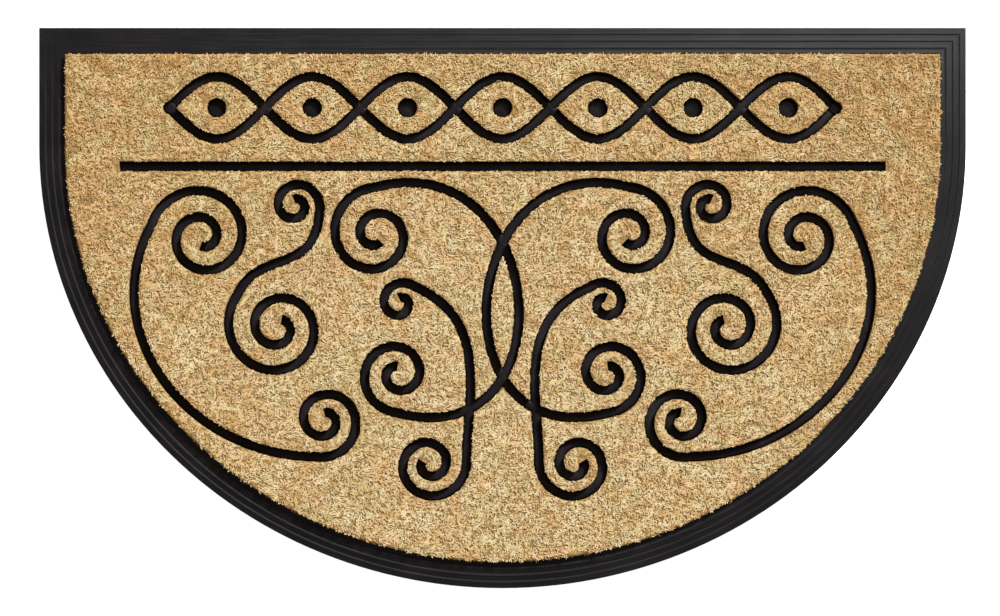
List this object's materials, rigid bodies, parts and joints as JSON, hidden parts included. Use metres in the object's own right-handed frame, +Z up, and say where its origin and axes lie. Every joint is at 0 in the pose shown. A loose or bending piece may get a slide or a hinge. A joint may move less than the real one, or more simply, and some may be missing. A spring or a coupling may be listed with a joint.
{
  "type": "half-round coir and rubber doormat",
  "caption": "Half-round doormat: a black moulded rubber base with a ribbed sloping rim and raised scroll lines, filled with golden coir pile.",
  "frame": {"origin": "on the floor, under the middle of the mat's bounding rectangle", "axes": "+X along the straight edge, +Y towards the straight edge, +Z up out of the pile"},
  "size_m": [0.762, 0.4608, 0.013],
  "materials": {
    "rubber": "black moulded rubber, dull with a faint sheen on its rounded edges",
    "coir": "golden coconut fibre pile, cut short, coarse and matt"
  },
  "bodies": {
    "root": {"rubber_base": "rubber", "coir_field": "coir", "coir_lens": "coir", "coir_eye_1": "coir", "coir_eye_2": "coir", "coir_eye_3": "coir", "coir_eye_4": "coir", "coir_eye_5": "coir", "coir_eye_6": "coir", "coir_eye_7": "coir"}
  },
  "joints": []
}
